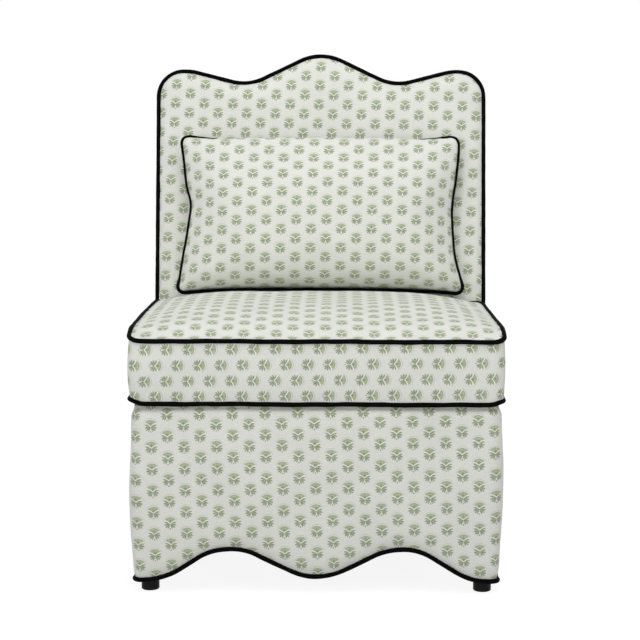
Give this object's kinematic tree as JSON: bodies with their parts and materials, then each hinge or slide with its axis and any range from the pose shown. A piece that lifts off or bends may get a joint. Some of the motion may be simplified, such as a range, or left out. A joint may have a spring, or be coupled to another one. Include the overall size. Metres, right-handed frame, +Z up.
{
  "type": "accent chair",
  "caption": "Armless upholstered accent chair with a wavy-topped reclined back, scalloped apron, loose boxed seat cushion and loose lumbar pillow, all edged with piping.",
  "frame": {"origin": "on the floor under the middle of the chair's bounding box", "axes": "+Z up, -Y towards the front of the seat, +X to the right of a viewer facing the front"},
  "size_m": [0.6288, 0.71, 0.8899],
  "materials": {
    "print_cloth": "woven cotton in off-white with a small block-printed sage sprig",
    "black_piping": "black cotton piping",
    "deck_cloth": "plain undyed cotton",
    "dust_cloth": "thin black non-woven cloth",
    "foam": "open polyurethane foam",
    "fibre": "polyester fibre",
    "plywood": "raw plywood",
    "hardwood": "raw sawn wood",
    "webbing": "woven jute webbing",
    "spring_steel": "drawn spring wire",
    "zinc_steel": "zinc plated",
    "black_plastic": "moulded, satin",
    "zip_tape": "black nylon",
    "zip_metal": "black enamel"
  },
  "bodies": {
    "chair": {"back_bolt_washers": "zinc_steel", "back_bolts": "zinc_steel", "back_bottom_rail": "hardwood", "back_boxing": "print_cloth", "back_edge_padding": "fibre", "back_foam": "foam", "back_front_cover": "print_cloth", "back_front_panel": "plywood", "back_middle_rail": "hardwood", "back_panel_screws": "zinc_steel", "back_tee_nuts": "zinc_steel", "back_webbing": "webbing", "back_welt": "black_piping", "base_batting": "fibre", "base_cover": "print_cloth", "base_welt": "black_piping", "corner_block_screws": "zinc_steel", "corner_blocks": "hardwood", "deck_cloth": "deck_cloth", "deck_pad": "foam", "dust_cover": "dust_cloth", "dust_cover_battens": "hardwood", "foot_screws": "zinc_steel", "front_apron_board": "plywood", "front_left_foot": "black_plastic", "front_right_foot": "black_plastic", "left_back_post": "hardwood", "left_edge_batten": "hardwood", "left_side_board": "plywood", "outside_back_cover": "print_cloth", "outside_back_panel": "plywood", "rear_base_board": "plywood", "rear_left_foot": "black_plastic", "rear_right_foot": "black_plastic", "right_back_post": "hardwood", "right_edge_batten": "hardwood", "right_side_board": "plywood", "seat_front_rail": "hardwood", "seat_rear_rail": "hardwood", "sinuous_springs": "spring_steel", "spring_clips": "spring_steel", "spring_tie_rods": "spring_steel", "top_spacer_blocks": "hardwood"},
    "seat_cushion": {"seat_bottom_panel": "print_cloth", "seat_bottom_welt": "black_piping", "seat_boxing": "print_cloth", "seat_fibre_topper": "fibre", "seat_foam_core": "foam", "seat_top_panel": "print_cloth", "seat_top_welt": "black_piping", "seat_zip": "zip_tape"},
    "pillow": {"pillow_back_panel": "print_cloth", "pillow_fill": "fibre", "pillow_front_panel": "print_cloth", "pillow_welt": "black_piping", "pillow_zip": "zip_tape"},
    "seat_zip_slider": {"seat_zip_slider": "zip_metal"},
    "pillow_zip_slider": {"pillow_zip_slider": "zip_metal"}
  },
  "joints": [
    {"name": "seat_cushion_lift", "type": "slide", "parent": "chair", "child": "seat_cushion", "axis": [0, 0, 1], "range_m": [0, 0.35]},
    {"name": "pillow_lift", "type": "slide", "parent": "seat_cushion", "child": "pillow", "axis": [0, -0.5, 0.866], "range_m": [0, 0.35]},
    {"name": "seat_zip_slide", "type": "slide", "parent": "seat_cushion", "child": "seat_zip_slider", "axis": [1, 0, 0], "range_m": [0, 0.43]},
    {"name": "pillow_zip_slide", "type": "slide", "parent": "pillow", "child": "pillow_zip_slider", "axis": [1, 0, 0], "range_m": [0, 0.365]}
  ]
}
